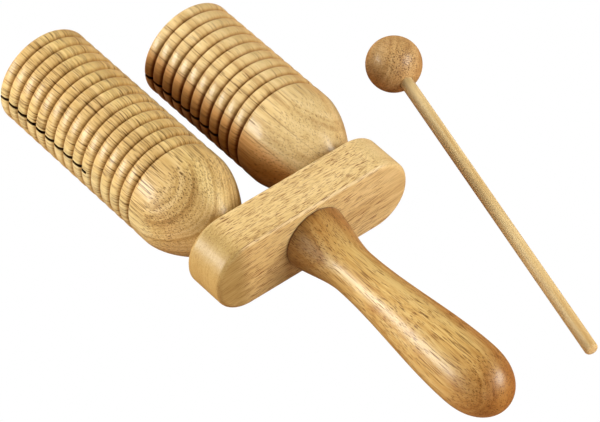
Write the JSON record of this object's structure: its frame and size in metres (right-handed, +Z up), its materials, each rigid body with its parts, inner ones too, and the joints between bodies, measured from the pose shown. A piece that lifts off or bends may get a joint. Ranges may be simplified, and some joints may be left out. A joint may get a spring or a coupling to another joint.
{
  "type": "two-tone wooden guiro with beater",
  "caption": "Hand-held wooden scraper: paired ridged tubular tone blocks of unequal length on a crossbar, turned handle behind, separate ball-headed beater alongside.",
  "frame": {"origin": "centre of the crossbar's flat underside; the blocks lie 5.75 mm below it, on the plane z = -5.75 mm, and the beater lies on that same plane", "axes": "+Y along the tone blocks, from the handle towards their open ends; +X to the right seen from the handle, so the longer, lower block is at -X; +Z up"},
  "size_m": [0.1628, 0.2705, 0.0468],
  "materials": {
    "low_block_wood": "satin lacquer, pale honey, fine dark pores and grain lines along the block",
    "high_block_wood": "satin lacquer, honey brown, fine dark pores and grain lines along the block",
    "crossbar_wood": "satin lacquer, grain along the bar",
    "handle_wood": "glossier lacquer, orange brown, grain along the handle",
    "dowel_wood": "bare, pale, hidden when assembled",
    "beater_head_wood": "satin lacquer, reddish brown with dark pore dots",
    "beater_stick_wood": "thin satin lacquer, pale straw with faint orange streaks"
  },
  "bodies": {
    "instrument": {"low_tone_block": "low_block_wood", "high_tone_block": "high_block_wood", "crossbar": "crossbar_wood", "handle": "handle_wood", "low_block_dowel": "dowel_wood", "high_block_dowel": "dowel_wood", "handle_dowel": "dowel_wood"},
    "beater": {"beater_head": "beater_head_wood", "beater_stick": "beater_stick_wood"}
  },
  "joints": [
    {"name": "beater_lift", "type": "slide", "parent": "instrument", "child": "beater", "axis": [0, 0, 1], "range_m": [0, 0.15]}
  ]
}
